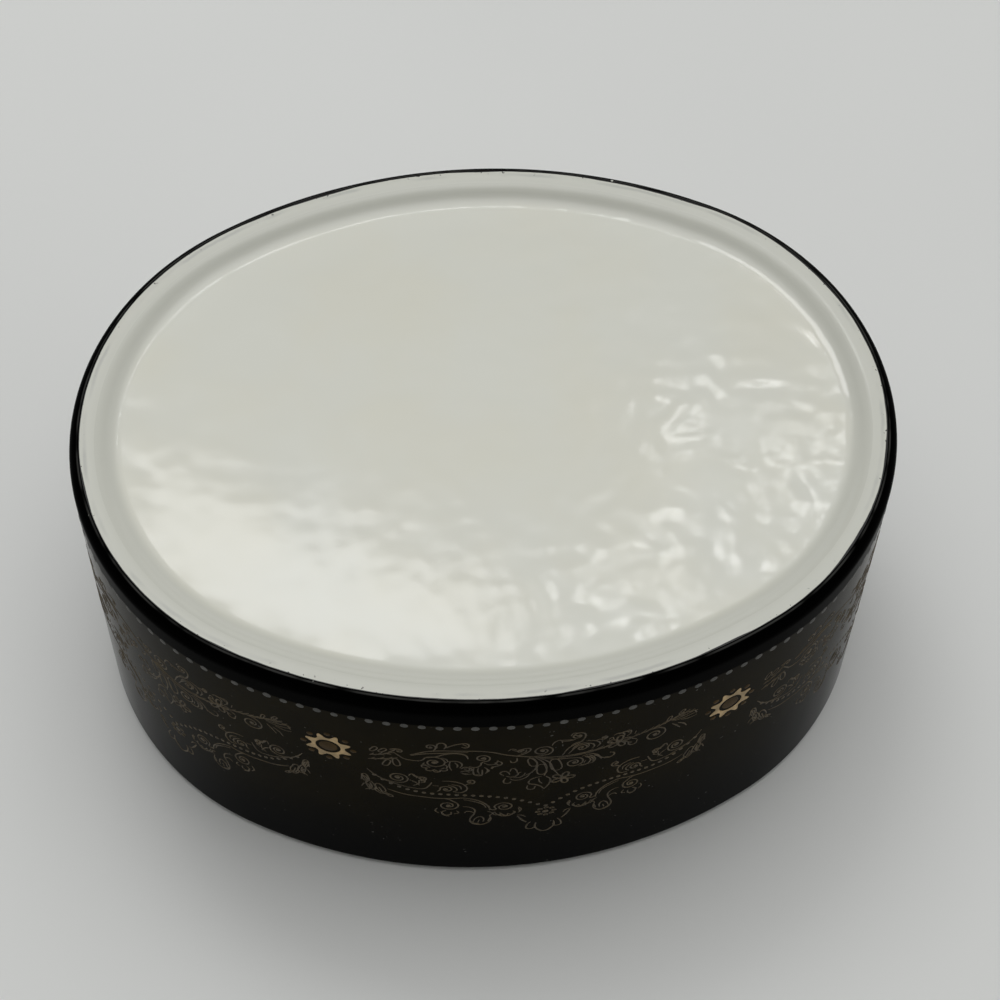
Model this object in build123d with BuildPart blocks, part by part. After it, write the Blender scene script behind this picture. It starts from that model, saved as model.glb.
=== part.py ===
from build123d import *
import math
import os

# Oval porcelain box with a lift-off lid, lying face down: the lid's flat top is on the table at z = 0
# and the foot ring is uppermost. Sizes are in millimetres.

# Oval outline of four tangent arcs, two at the ends and two at the sides, and the angle from the length
# to the lines on which they join
box_length = 114.0
box_width = 90.0
arc_join_angle = 60.4

# Box casting
body_height = 50.6
wall = 4.5
base_thickness = 3.35
shoulder_radius = 2.0
rim_radius = 0.8
inside_corner_radius = 4.0

# Foot: a low rounded ring round a shallow recess
foot_ring_edge = 3.8
foot_slope_width = 2.05
foot_recess = 1.85
foot_ring_rounding = 3.5
foot_recess_rounding = 3.5

# Gallery inside the rim that takes the lid
gallery_lip = 2.1
gallery_depth = 3.0

# Lid casting
lid_stand = 0.7
lid_gap = 0.4
lid_edge_radius = 0.8
flange_gap = 0.5
flange_thickness = 2.2
flange_height = 4.5
flange_rounding = 0.8

# Black coat
coat = 0.3
coat_edge_inset = 1.5
lid_bare_edge = 0.7

# Values that follow from the sizes above
join = math.radians(arc_join_angle)
narrowing = (1 - math.sin(join)) / math.cos(join)
end_radius = (box_width / 2 - narrowing * box_length / 2) / (1 - narrowing)
end_centre = box_length / 2 - end_radius
side_centre = end_centre * math.tan(join)
side_radius = box_width / 2 + side_centre
rim_z = lid_stand
foot_z = rim_z + body_height
recess_z = foot_z - foot_recess
cavity_z = recess_z - base_thickness
lid_thickness = lid_stand + gallery_depth
lid_inset = gallery_lip + lid_gap
flange_inset = wall + flange_gap

os.makedirs("parts", exist_ok=True)


def oval(inset=0.0):
    """The outline of the box, drawn in by the same distance all round."""
    end = end_radius - inset
    side = side_radius - inset
    with BuildSketch(mode=Mode.PRIVATE) as outline:
        with BuildLine():
            CenterArc((end_centre, 0), end, -arc_join_angle, 2 * arc_join_angle)
            CenterArc((0, -side_centre), side, arc_join_angle, 180 - 2 * arc_join_angle)
            CenterArc((-end_centre, 0), end, 180 - arc_join_angle, 2 * arc_join_angle)
            CenterArc((0, side_centre), side, 180 + arc_join_angle, 180 - 2 * arc_join_angle)
        make_face()
    return outline.sketch


def edges_at(shape, height):
    """The edges of a shape that lie flat at one height."""
    return shape.edges().filter_by(lambda edge: abs(edge.bounding_box().max.Z - height) < 1e-4
                                   and abs(edge.bounding_box().min.Z - height) < 1e-4)


# Outside of the box, coat included
with BuildPart() as box_outside:
    with BuildSketch(Plane.XY.offset(rim_z)):
        add(oval())
    extrude(amount=body_height)
    fillet(edges_at(box_outside, foot_z), shoulder_radius)
    fillet(edges_at(box_outside, rim_z), rim_radius)

# What lies under the box's coat
with BuildPart() as box_under_coat:
    with BuildSketch(Plane.XY.offset(rim_z + coat)):
        add(oval(coat))
    extrude(amount=body_height - 2 * coat)
    fillet(edges_at(box_under_coat, foot_z - coat), shoulder_radius - coat)
    fillet(edges_at(box_under_coat, rim_z + coat), rim_radius - coat)

# Black coat of the box: wall, shoulder and rim rounding, with the foot ring and the rim's face bare
with BuildPart() as box_black_coat:
    add(box_outside.part)
    add(box_under_coat.part, mode=Mode.SUBTRACT)
    with BuildSketch(Plane.XY.offset(foot_z)):
        add(oval(coat_edge_inset))
    extrude(amount=-shoulder_radius, mode=Mode.SUBTRACT)
    with BuildSketch(Plane.XY.offset(rim_z)):
        add(oval(rim_radius))
    extrude(amount=rim_radius, mode=Mode.SUBTRACT)

box_black_coat.part.label = "box_black_coat"
export_step(box_black_coat.part, "parts/box_black_coat.step")

# Porcelain box: one casting with its cavity, gallery and recessed foot
with BuildPart() as box_body:
    add(box_outside.part)
    add(box_black_coat.part, mode=Mode.SUBTRACT)
    with BuildSketch(Plane.XY.offset(rim_z)):
        add(oval(wall))
    extrude(amount=cavity_z - rim_z, mode=Mode.SUBTRACT)
    fillet(edges_at(box_body, cavity_z), inside_corner_radius)
    with BuildSketch(Plane.XY.offset(rim_z)):
        add(oval(gallery_lip))
    extrude(amount=gallery_depth, mode=Mode.SUBTRACT)
    with BuildSketch(Plane.XY.offset(foot_z)):
        add(oval(foot_ring_edge))
    with BuildSketch(Plane.XY.offset(recess_z)):
        add(oval(foot_ring_edge + foot_slope_width))
    loft(ruled=True, mode=Mode.SUBTRACT)
    fillet(edges_at(box_body, recess_z), foot_recess_rounding)
    foot_face = box_body.faces().filter_by(Plane.XY).sort_by(Axis.Z)[-1]
    fillet(foot_face.inner_wires().edges(), foot_ring_rounding)

box_body.part.label = "box_body"
export_step(box_body.part, "parts/box_body.step")

# Outside of the lid's plate, coat included
with BuildPart() as lid_outside:
    with BuildSketch():
        add(oval(lid_inset))
    extrude(amount=lid_thickness)
    fillet(edges_at(lid_outside, 0), lid_edge_radius)

# What lies under the lid's coat
with BuildPart() as lid_under_coat:
    with BuildSketch(Plane.XY.offset(coat)):
        add(oval(lid_inset + coat))
    extrude(amount=lid_thickness - coat)
    fillet(edges_at(lid_under_coat, coat), lid_edge_radius - coat)

# Black coat of the lid: its top and edge, with the edge bare beside the seat
with BuildPart() as lid_black_coat:
    add(lid_outside.part)
    add(lid_under_coat.part, mode=Mode.SUBTRACT)
    with BuildSketch(Plane.XY.offset(lid_thickness)):
        add(oval(lid_inset))
    extrude(amount=-lid_bare_edge, mode=Mode.SUBTRACT)

lid_black_coat.part.label = "lid_black_coat"
export_step(lid_black_coat.part, "parts/lid_black_coat.step")

# Porcelain lid: a flat plate with a locating flange that stands inside the box's wall
with BuildPart() as lid:
    add(lid_outside.part)
    add(lid_black_coat.part, mode=Mode.SUBTRACT)
    with BuildSketch(Plane.XY.offset(lid_thickness)):
        add(oval(flange_inset))
        add(oval(flange_inset + flange_thickness), mode=Mode.SUBTRACT)
    extrude(amount=flange_height)
    fillet(edges_at(lid, lid_thickness + flange_height), flange_rounding)

lid.part.label = "lid"
export_step(lid.part, "parts/lid.step")
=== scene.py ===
import math

import bmesh
import bpy
from bpy.props import FloatProperty, FloatVectorProperty, IntProperty, PointerProperty
from mathutils import Matrix, Vector, noise


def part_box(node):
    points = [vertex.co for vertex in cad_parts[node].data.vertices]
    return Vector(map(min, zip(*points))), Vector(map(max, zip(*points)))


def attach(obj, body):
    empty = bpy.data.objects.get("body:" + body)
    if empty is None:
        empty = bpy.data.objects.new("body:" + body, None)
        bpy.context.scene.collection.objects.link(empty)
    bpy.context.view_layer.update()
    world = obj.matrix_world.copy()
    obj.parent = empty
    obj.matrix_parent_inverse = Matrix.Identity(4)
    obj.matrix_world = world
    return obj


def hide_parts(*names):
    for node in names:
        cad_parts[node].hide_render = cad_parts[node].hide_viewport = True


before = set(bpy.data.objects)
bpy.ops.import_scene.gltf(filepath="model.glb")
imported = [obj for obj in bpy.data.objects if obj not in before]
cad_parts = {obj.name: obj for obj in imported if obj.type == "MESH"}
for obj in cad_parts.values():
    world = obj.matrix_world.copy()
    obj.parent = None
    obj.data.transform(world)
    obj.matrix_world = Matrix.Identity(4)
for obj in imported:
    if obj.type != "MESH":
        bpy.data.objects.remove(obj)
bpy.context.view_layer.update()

bl_info = {
    "name": "Oval porcelain box",
    "version": (1, 0, 0),
    "blender": (4, 5, 0),
    "location": "3D View > Sidebar > Oval Box",
    "description": "Builds an oval porcelain box lying face down, with its black coat and gold print",
    "category": "Object",
}

MM = 0.001
coat_low, coat_high = (Vector(corner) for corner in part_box("box_black_coat"))
body_low, body_high = (Vector(corner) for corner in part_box("box_body"))

# How finely the castings are swept, and where their shading breaks
ARC_STEP = 0.8 * MM
TURN_STEP = math.radians(8)
MERGE = 0.001 * MM
SHARP_ANGLE = math.radians(35)


def size(name, description, default):
    """A length that a user may change."""
    return FloatProperty(name=name, description=description, default=default, min=0, unit="LENGTH",
                         precision=5)


def angle(name, description, degrees):
    """An angle that a user may change."""
    return FloatProperty(name=name, description=description, default=math.radians(degrees), subtype="ANGLE")


def colour(name, description, default):
    """A linear colour that a user may change."""
    return FloatVectorProperty(name=name, description=description, default=default, min=0, max=1, size=3,
                               subtype="COLOR")


def factor(name, description, default):
    """A share from 0 to 1 that a user may change."""
    return FloatProperty(name=name, description=description, default=default, min=0, max=1,
                         subtype="FACTOR")


def brightness(name, description, default):
    """A strength of light that a user may change."""
    return FloatProperty(name=name, description=description, default=default, min=0)


def amount(name, description, default, least):
    """A whole number that a user may change."""
    return IntProperty(name=name, description=description, default=default, min=least)


class OvalBoxSizes(bpy.types.PropertyGroup):
    """Sizes of the castings and of the black coat on them."""

    length: size("Length", "Length of the oval over the coat", round(coat_high.x - coat_low.x, 4))
    width: size("Width", "Width of the oval over the coat", round(coat_high.y - coat_low.y, 4))
    join_angle: angle("Join angle", "From the length to the lines on which the outline's arcs join", 60.4)
    rim: size("Rim height", "Height of the rim's face over the table", round(body_low.z, 4))
    foot: size("Foot height", "Height of the foot ring over the table", round(body_high.z, 4))
    wall: size("Wall", "Thickness of the wall, coat included", 4.5 * MM)
    base: size("Base", "Thickness of the base inside the foot ring", 3.35 * MM)
    inside_rounding: size("Inside rounding", "Rounding between the wall and the base inside", 4.0 * MM)
    shoulder: size("Shoulder", "Rounding between the wall and the foot ring", 2.0 * MM)
    rim_rounding: size("Rim rounding", "Rounding between the wall and the rim's face", 0.8 * MM)
    ring_edge: size("Ring edge", "From the wall to the inner edge of the foot ring", 3.8 * MM)
    slope: size("Slope", "Width of the slope from the foot ring to the recess", 2.05 * MM)
    recess: size("Recess", "Depth of the recess inside the foot ring", 1.85 * MM)
    ring_rounding: size("Ring rounding", "Rounding of the foot ring's inner edge", 3.5 * MM)
    floor_rounding: size("Floor rounding", "Rounding in the corner of the recess", 3.5 * MM)
    gallery_lip: size("Gallery lip", "From the wall to the gallery that takes the lid", 2.1 * MM)
    gallery_depth: size("Gallery depth", "Depth of the gallery from the rim's face", 3.0 * MM)
    coat: size("Coat", "Thickness of the black coat", 0.3 * MM)
    coat_edge: size("Coat edge", "From the wall to the coat's edge on the shoulder", 1.5 * MM)
    lid_inset: size("Lid inset", "From the wall to the edge of the lid", 2.5 * MM)
    lid_rounding: size("Lid rounding", "Rounding of the lid's lower edge", 0.8 * MM)
    lid_bare_edge: size("Lid bare edge", "Height of the lid's edge that the coat leaves bare", 0.7 * MM)
    flange_inset: size("Flange inset", "From the wall to the outside of the lid's flange", 5.0 * MM)
    flange: size("Flange", "Thickness of the lid's flange", 2.2 * MM)
    flange_height: size("Flange height", "Height of the flange over the lid's plate", 4.5 * MM)
    flange_rounding: size("Flange rounding", "Rounding of the flange's edges", 0.8 * MM)


class OvalBoxOrnament(bpy.types.PropertyGroup):
    """Places and sizes of the gold print on the wall."""

    relief: size("Relief", "How far the print stands out from the coat", 0.05 * MM)
    line: size("Line", "Width of a scroll line", 0.24 * MM)
    bead_count: amount("Beads", "Beads in the row round the wall", 140, 12)
    bead_height: size("Bead height", "Height of the bead row over the table", 46.0 * MM)
    bead: size("Bead", "Diameter of a bead", 1.12 * MM)
    sun_height: size("Sun height", "Height of the suns over the table", 36.1 * MM)
    sun_hole: size("Sun hole", "Radius of the hole in a sun", 1.75 * MM)
    sun_ring: size("Sun ring", "Radius of a sun's ring between its points", 2.3 * MM)
    sun_tip: size("Sun tip", "Radius of a sun's points", 3.35 * MM)
    panel_middle: FloatProperty(name="Panel middle", default=3.45 * MM, unit="LENGTH", precision=5,
                                description="From the front of the oval to the first panel's middle")
    front_panel: size("Front panel", "Length of the panel at the front, from sun to sun", 55.7 * MM)
    panels: amount("Panels", "Panels of scrollwork round the wall", 6, 2)


class OvalBoxFinishes(bpy.types.PropertyGroup):
    """Colours of the porcelain, the coat and the print."""

    porcelain: colour("Porcelain", "Glazed porcelain", (0.712, 0.719, 0.643))
    soil: colour("Soil", "Grey soil that lies along the foot ring", (0.33, 0.34, 0.33))
    gloss_black: colour("Gloss black", "Band of the coat over the bead row", (0.0004, 0.0004, 0.0004))
    satin_black: colour("Satin black", "Printed wall under the bead row", (0.006, 0.0043, 0.0007))
    # The dust colour also paints a highlight along the coat's edge
    dust: colour("Dust", "Pale dust on the printed wall", (0.16, 0.16, 0.15))
    bright_gold: colour("Bright gold", "Burnished gold of the suns", (0.6, 0.42, 0.2))
    dull_gold: colour("Dull gold", "Flat gold of the scrollwork", (0.082, 0.057, 0.024))
    bead_grey: colour("Bead grey", "Flat grey of the bead row", (0.074, 0.073, 0.066))
    gloss: factor("Gloss", "Roughness of the glaze", 0.083)
    satin: factor("Satin", "Roughness of the printed wall", 0.12)


class OvalBoxStage(bpy.types.PropertyGroup):
    """Camera, table and light."""

    lens: FloatProperty(name="Lens", default=86.4,
                        description="Focal length on a 36 mm sensor, in millimetres")
    target: FloatVectorProperty(name="Target", description="Point that the camera looks at", size=3,
                                default=(2.51 * MM, 1.53 * MM, 27.0 * MM), subtype="TRANSLATION")
    distance: size("Distance", "From the target to the camera", 351.1 * MM)
    elevation: angle("Elevation", "Height of the camera over the horizon", 58.0)
    azimuth: angle("Azimuth", "Turn of the camera from the front towards the right", -5.781)
    roll: angle("Roll", "Turn of the camera about its own axis", 1.46)
    table: colour("Table", "Pale table that the box lies on", (0.8, 0.81, 0.79))
    windows: brightness("Windows", "Windows that the glaze mirrors", 4.0)
    walls: brightness("Walls", "Pale walls near the horizon", 0.6)
    daylight: brightness("Daylight", "Soft light from above", 1.72)
    right_light: brightness("Right light", "Soft light from the right", 0.36)
    left_light: brightness("Left light", "Soft light from the left", 0.24)


class Oval:
    """The outline of the box: four tangent arcs, measured along the wall from the middle of the front."""

    def __init__(self, sizes):
        half_length = sizes.length / 2
        half_width = sizes.width / 2
        join = sizes.join_angle
        narrowing = (1 - math.sin(join)) / math.cos(join)
        end_radius = (half_width - narrowing * half_length) / (1 - narrowing)
        end_centre = half_length - end_radius
        side_centre = end_centre * math.tan(join)
        side_radius = half_width + side_centre
        half_side = math.pi / 2 - join
        self.front = -half_width
        # Centre, radius, first angle and turn of each arc, from the middle of the front to the right
        self.arcs = [
            (Vector((0, side_centre, 0)), side_radius, -math.pi / 2, half_side),
            (Vector((end_centre, 0, 0)), end_radius, -join, 2 * join),
            (Vector((0, -side_centre, 0)), side_radius, join, 2 * half_side),
            (Vector((-end_centre, 0, 0)), end_radius, math.pi - join, 2 * join),
            (Vector((0, side_centre, 0)), side_radius, math.pi + join, half_side),
        ]
        self.perimeter = sum(radius * turn for centre, radius, first, turn in self.arcs)

    def find(self, distance):
        """Centre and radius of the arc at a distance along the wall, and the angle out of it there."""
        left = distance % self.perimeter
        for centre, radius, first, turn in self.arcs:
            if left <= radius * turn:
                break
            left -= radius * turn
        return centre, radius, first + left / radius

    def place(self, distance, height):
        """A frame on the wall: X along it to the right, Y up and Z out."""
        centre, radius, heading = self.find(distance)
        out = Vector((math.cos(heading), math.sin(heading), 0))
        along = Vector((-out.y, out.x, 0))
        turn = Matrix((along, (0, 0, 1), out)).transposed()
        return Matrix.Translation(centre + out * radius + Vector((0, 0, height))) @ turn.to_4x4()

    def wrap(self, bm, distance, stretch=1.0):
        """Bends a flat ornament, X along, Y up and Z out, on to the wall."""
        for vert in bm.verts:
            along, height, stand = vert.co
            centre, radius, heading = self.find(distance + along * stretch)
            reach = radius + stand
            vert.co = (centre.x + reach * math.cos(heading), centre.y + reach * math.sin(heading), height)

    def spin(self, bm, profile, closed=False):
        """Carries a profile of (inset, height) points round the outline and keeps each point's inset."""
        inset_layer = bm.verts.layers.float.new("inset")
        verts = []
        for inset, height in profile:
            vert = bm.verts.new((0, self.front + inset, height))
            vert[inset_layer] = inset
            verts.append(vert)
        edges = [bm.edges.new(pair) for pair in zip(verts, verts[1:])]
        if closed:
            edges.append(bm.edges.new((verts[-1], verts[0])))
        end = verts + edges
        for centre, radius, first, turn in self.arcs:
            steps = round(radius * turn / ARC_STEP)
            spun = bmesh.ops.spin(bm, geom=end, cent=centre, axis=(0, 0, 1), angle=turn, steps=steps)
            end = spun["geom_last"]
        bmesh.ops.remove_doubles(bm, verts=bm.verts, dist=MERGE)
        if not closed:
            bmesh.ops.holes_fill(bm, edges=[edge for edge in bm.edges if edge.is_boundary], sides=0)
        bmesh.ops.recalc_face_normals(bm, faces=bm.faces)


def bend(centre, radius, first, last):
    """Points of a profile's arc between two angles: 0 is out of the wall and a right angle is up."""
    steps = max(1, math.ceil(abs(last - first) / TURN_STEP))
    points = []
    for step in range(steps + 1):
        heading = first + (last - first) * step / steps
        inset = centre[0] - radius * math.cos(heading)
        height = centre[1] + radius * math.sin(heading)
        points.append(Vector((inset, height)))
    return points


def rounded(corners):
    """Points of a profile given as corners: inset, height and rounding."""
    points = []
    for index, (inset, height, radius) in enumerate(corners):
        corner = Vector((inset, height))
        if not radius:
            points.append(corner)
            continue
        before = (Vector(corners[index - 1][:2]) - corner).normalized()
        after = (Vector(corners[index + 1][:2]) - corner).normalized()
        opening = before.angle(after)
        reach = radius / math.tan(opening / 2)
        centre = corner + (before + after).normalized() * radius / math.sin(opening / 2)
        start = corner + before * reach - centre
        end = corner + after * reach - centre
        turn = math.atan2(start.cross(end), start.dot(end))
        steps = math.ceil(abs(turn) / TURN_STEP)
        points += [centre + Matrix.Rotation(turn * step / steps, 2) @ start for step in range(steps + 1)]
    return points


def add_piece(context, name, bm, material, body, replaced=None):
    """Makes a finished mesh into a piece that rides on a body."""
    mesh = bpy.data.meshes.new(name)
    bm.to_mesh(mesh)
    bm.free()
    mesh.shade_smooth()
    mesh.set_sharp_from_angle(angle=SHARP_ANGLE)
    mesh.materials.append(material)
    piece = bpy.data.objects.new(name, mesh)
    context.scene.collection.objects.link(piece)
    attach(piece, body)
    if replaced:
        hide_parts(replaced)


# Sockets of a Mix node that blends colours: share, first, second and result
MIX_SHARE = 0
MIX_FIRST = 6
MIX_SECOND = 7
MIX_RESULT = 2


class Field:
    """One output of a shader node, with the arithmetic that the finishes use."""

    def __init__(self, finish, socket):
        self.finish = finish
        self.socket = socket

    def math(self, operation, first, second):
        return self.finish.node("ShaderNodeMath", {"operation": operation}, {0: first, 1: second})

    def __add__(self, other):
        return self.math("ADD", self, other)

    __radd__ = __add__

    def __mul__(self, other):
        return self.math("MULTIPLY", self, other)

    __rmul__ = __mul__

    def __sub__(self, other):
        return self.math("SUBTRACT", self, other)

    def __rsub__(self, other):
        return self.math("SUBTRACT", other, self)

    def step(self, low, high):
        """0 below low, 1 above high, smooth between; the other way round where low is the larger."""
        return self.finish.node("ShaderNodeMapRange", {"interpolation_type": "SMOOTHSTEP"},
                                {"Value": self, "From Min": low, "From Max": high})


class Finish:
    """A node tree under construction, for a material or for the world."""

    def __init__(self, holder):
        holder.use_nodes = True
        self.tree = holder.node_tree

    def connect(self, node, inputs):
        """Sets or links the sockets of a node."""
        for name, value in inputs.items():
            if isinstance(value, Field):
                self.tree.links.new(value.socket, node.inputs[name])
            else:
                node.inputs[name].default_value = value

    def node(self, kind, settings=None, inputs=None, output=0):
        """Adds a node: its settings first, then the values or links of its sockets."""
        node = self.tree.nodes.new(kind)
        for name, value in (settings or {}).items():
            setattr(node, name, value)
        self.connect(node, inputs or {})
        return Field(self, node.outputs[output])

    def place(self):
        """Object coordinates."""
        return self.node("ShaderNodeTexCoord", output="Object")

    def axis(self, name, place):
        """One coordinate of a place."""
        return self.node("ShaderNodeSeparateXYZ", None, {"Vector": place}, name)

    def attribute(self, name):
        """A number kept on the mesh."""
        return self.node("ShaderNodeAttribute", {"attribute_name": name}, None, "Fac")

    def noise(self, place, grain, detail=2.0):
        """Cloudy noise whose lumps are about as large as grain."""
        inputs = {"Vector": place, "Scale": 1 / grain, "Detail": detail}
        return self.node("ShaderNodeTexNoise", None, inputs)

    def mix(self, share, first, second):
        """Blends two colours."""
        inputs = {MIX_SHARE: share}
        for socket, value in ((MIX_FIRST, first), (MIX_SECOND, second)):
            inputs[socket] = value if isinstance(value, Field) else (*value, 1.0)
        return self.node("ShaderNodeMix", {"data_type": "RGBA"}, inputs, MIX_RESULT)

    def bump(self, height, depth, normal=None):
        """A normal from a height field, whose whole range is depth."""
        inputs = {"Height": height, "Distance": depth, "Strength": 1.0}
        if normal:
            inputs["Normal"] = normal
        return self.node("ShaderNodeBump", None, inputs)

    def principled(self, inputs):
        """Sets or links the sockets of the material's own shader."""
        self.connect(self.tree.nodes["Principled BSDF"], inputs)


def new_finish(name):
    """A new material and the finish that is made on it."""
    material = bpy.data.materials.new(name)
    return material, Finish(material)


def scaled(tone, share):
    """A darker or brighter form of a colour."""
    return tuple(channel * share for channel in tone)


def tinted(tone, tint):
    """A colour with each of its channels scaled by its own share."""
    return tuple(channel * share for channel, share in zip(tone, tint))


def porcelain_finish(finishes, sizes):
    """White glaze with slow waves, painted shade on the foot ring and its slope, soil along the foot ring
    and black that strays over the coat's edge.
    """
    warm_tint = (1.0, 0.985, 0.95)
    slope_shade_share = 0.9
    soil_share = 0.35
    speck_share = 0.8
    calm_share = 0.35
    wave_depth = 0.09 * MM
    ripple_depth = 0.05 * MM
    patch_roughness = 0.05
    ground_roughness = 0.4
    material, finish = new_finish("glazed_porcelain")
    place = finish.place()
    inset = finish.attribute("inset")
    height = finish.axis("Z", place)
    floor = sizes.foot - sizes.recess
    on_ring = height.step(sizes.foot - 0.8 * MM, sizes.foot - 0.5 * MM)
    on_foot = height.step(floor - 0.4 * MM, floor - 0.2 * MM)

    # Slow changes of tone, and painted shade that darkens the foot ring and its slope
    clouds = finish.noise(place, 22 * MM, 3.0)
    base = finish.mix(clouds.step(0.35, 0.7), finishes.porcelain, tinted(finishes.porcelain, warm_tint))
    thin = inset.step(7.2 * MM, 5.4 * MM) * on_foot
    base = finish.mix(thin, base, scaled(finishes.porcelain, slope_shade_share))

    # Grey soil in a ragged line along the ring
    ragged = finish.noise(place, 2.5 * MM, 3.0)
    line = inset + ragged * (0.5 * MM)
    soil_line = line.step(2.1 * MM, 2.4 * MM) * line.step(2.9 * MM, 2.5 * MM) * on_ring
    soil_patches = finish.noise(place, 9 * MM, 2.0).step(0.45, 0.65)
    base = finish.mix(soil_line * soil_patches * soil_share, base, finishes.soil)

    # Black that strays from the coat's edge on to the ring
    stray = finish.noise(place, 14 * MM, 1.0).step(0.45, 0.75) * (0.2 * MM) + ragged * (0.12 * MM)
    edge = (inset - stray).step(sizes.coat_edge + 0.1 * MM, sizes.coat_edge - 0.02 * MM)
    specks = finish.noise(place, 0.6 * MM, 1.0).step(0.7, 0.74) * inset.step(2.6 * MM, 1.6 * MM)
    black = (edge + specks * speck_share) * on_ring
    base = finish.mix(black.step(0.0, 1.0), base, finishes.gloss_black)

    # Waves all over, with ripples that are stronger towards the right, and a ring ground flat and matt
    waves = finish.noise(place, 11 * MM, 1.5)
    ripples = finish.noise(place, 2.8 * MM, 0.3)
    pooled = finish.axis("X", place).step(-25 * MM, 15 * MM) * (1 - calm_share) + calm_share
    normal = finish.bump(waves, wave_depth)
    normal = finish.bump(ripples * pooled, ripple_depth, normal)
    patches = finish.noise(place, 6 * MM).step(0.4, 0.8)
    ground = inset.step(3.9 * MM, 3.2 * MM) * on_ring
    finish.principled({
        "Base Color": base,
        "Roughness": finishes.gloss + patches * patch_roughness + ground * ground_roughness,
        "Normal": normal,
        "IOR": 1.5,
    })
    return material


def coat_finish(finishes, sizes, ornament):
    """Black coat: deep gloss over the bead row, and under it a satin print with dust on it; painted shade
    towards the rim and a painted highlight along the coat's edge.
    """
    worn_share = 1.6
    dust_share = 0.5
    edge_glint_share = 0.25
    wave_depth = 0.03 * MM
    grain_depth = 0.004 * MM
    cloud_roughness = 0.08
    gloss_weight = 0.4
    material, finish = new_finish("fired_black")
    place = finish.place()
    inset = finish.attribute("inset")
    height = finish.axis("Z", place)
    wobble = finish.noise(place, 4 * MM)
    level = height + wobble * (0.2 * MM)
    printed = level.step(ornament.bead_height + 0.65 * MM, ornament.bead_height + 0.45 * MM)

    # Satin print under the bead row with specks of dust, and painted shade that darkens it towards the rim,
    # next to the table
    clouds = finish.noise(place, 8 * MM, 3.0).step(0.3, 0.75)
    satin = finish.mix(clouds, finishes.satin_black, scaled(finishes.satin_black, worn_share))
    satin = finish.mix(height.step(4 * MM, 30 * MM), finishes.gloss_black, satin)
    dust = finish.noise(place, 0.45 * MM, 0.0).step(0.8, 0.86) * finish.noise(place, 6 * MM).step(0.45, 0.6)
    base = finish.mix(printed, finishes.gloss_black, satin)
    base = finish.mix(dust * printed * dust_share, base, finishes.dust)

    # A painted highlight in patches along the coat's edge on the shoulder, in the dust colour, and small
    # chips there
    on_shoulder = height.step(sizes.foot - 1.0 * MM, sizes.foot - 0.8 * MM)
    rubbed = inset.step(sizes.coat_edge - 0.45 * MM, sizes.coat_edge - 0.3 * MM) * on_shoulder
    rubbed = rubbed * inset.step(sizes.coat_edge - 0.1 * MM, sizes.coat_edge - 0.2 * MM)
    rubbed = rubbed * finish.noise(place, 5 * MM).step(0.3, 0.6)
    base = finish.mix(rubbed * edge_glint_share, base, finishes.dust)
    chips = finish.noise(place, 1.6 * MM, 1.0).step(0.76, 0.79) * inset.step(0.9 * MM, 1.3 * MM)
    base = finish.mix(chips * on_shoulder, base, finishes.porcelain)

    # Slow waves all over, and a fine grain on the print
    grain = finish.noise(place, 0.5 * MM, 2.0)
    waves = finish.noise(place, 7 * MM, 1.5)
    normal = finish.bump(waves, wave_depth)
    normal = finish.bump(grain * printed, grain_depth, normal)
    roughness = finishes.gloss + printed * (finishes.satin - finishes.gloss)
    finish.principled({
        "Base Color": base,
        "Roughness": roughness + clouds * printed * cloud_roughness,
        "Normal": normal,
        "IOR": 1.5,
        "Specular IOR Level": 0.0,
        "Coat Weight": printed * (1 - gloss_weight) + gloss_weight,
        "Coat Roughness": finishes.satin,
        "Coat IOR": 1.06,
    })
    return material


def print_finish(name, tone, metallic, roughness):
    """Printed metal that is thin and rubbed in places."""
    rubbed_share = 0.55
    grain_roughness = 0.15
    grain_depth = 0.01 * MM
    material, finish = new_finish(name)
    place = finish.place()
    clouds = finish.noise(place, 2.2 * MM, 3.0).step(0.3, 0.7)
    grain = finish.noise(place, 0.25 * MM, 2.0)
    finish.principled({
        "Base Color": finish.mix(clouds, scaled(tone, rubbed_share), tone),
        "Roughness": roughness + grain * grain_roughness,
        "Metallic": metallic,
        "Normal": finish.bump(grain, grain_depth),
    })
    return material


def get_finish(name, make):
    """The material of that name, made the first time that a piece asks for it."""
    return bpy.data.materials.get(name) or make()


class PieceOperator:
    """What the operators share: the settings and the outline of the box."""

    bl_options = {"REGISTER", "UNDO"}

    def execute(self, context):
        scene = context.scene
        self.sizes = scene.oval_box_sizes
        self.ornament = scene.oval_box_ornament
        self.finishes = scene.oval_box_finishes
        self.oval = Oval(self.sizes)
        self.build(context)
        return {"FINISHED"}

    def porcelain(self):
        return get_finish("glazed_porcelain", lambda: porcelain_finish(self.finishes, self.sizes))

    def black(self):
        return get_finish("fired_black", lambda: coat_finish(self.finishes, self.sizes, self.ornament))

    def dull_gold(self):
        tone = self.finishes.dull_gold
        metallic = 0.25
        roughness = 0.5
        return get_finish("dull_gold", lambda: print_finish("dull_gold", tone, metallic, roughness))

    def coat_lines(self):
        """Centres of the shoulder's and rim's roundings, and the shoulder's angle where the coat ends."""
        s = self.sizes
        shoulder = (s.shoulder, s.foot - s.shoulder)
        rim = (s.rim_rounding, s.rim + s.rim_rounding)
        edge = math.acos((s.shoulder - s.coat_edge) / s.shoulder)
        return shoulder, rim, edge


# From the wall to the flat caps that close a casting's middle, and to two rings that divide the recess
CAP_INSET = 39 * MM
FLOOR_INSETS = (20 * MM, 12 * MM)


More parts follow.
